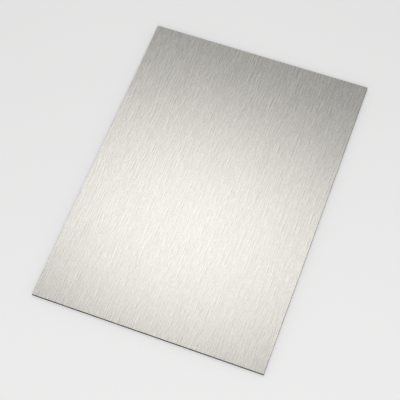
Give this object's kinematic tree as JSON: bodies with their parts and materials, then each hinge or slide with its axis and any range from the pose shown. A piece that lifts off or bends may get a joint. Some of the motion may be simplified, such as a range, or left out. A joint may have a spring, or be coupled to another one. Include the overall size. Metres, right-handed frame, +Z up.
{
  "type": "aluminium composite panel",
  "caption": "Flat rectangular composite panel: a brushed aluminium face skin and a plain back skin bonded to a solid black plastic core, with square sawn edges.",
  "frame": {"origin": "middle of the panel's underside, on the surface that it lies on", "axes": "+X across the brushing, along the short side; +Y along the brushing and the long side; +Z up, out of the brushed face"},
  "size_m": [0.21, 0.297, 0.003],
  "materials": {
    "brushed_aluminium": "fine linear brushing along the long side, under clear matt lacquer",
    "black_core": "sawn solid polyethylene",
    "mill_aluminium": "plain rolled finish under a thin clear wash coat"
  },
  "bodies": {
    "root": {"face_skin": "brushed_aluminium", "core": "black_core", "back_skin": "mill_aluminium"}
  },
  "joints": []
}
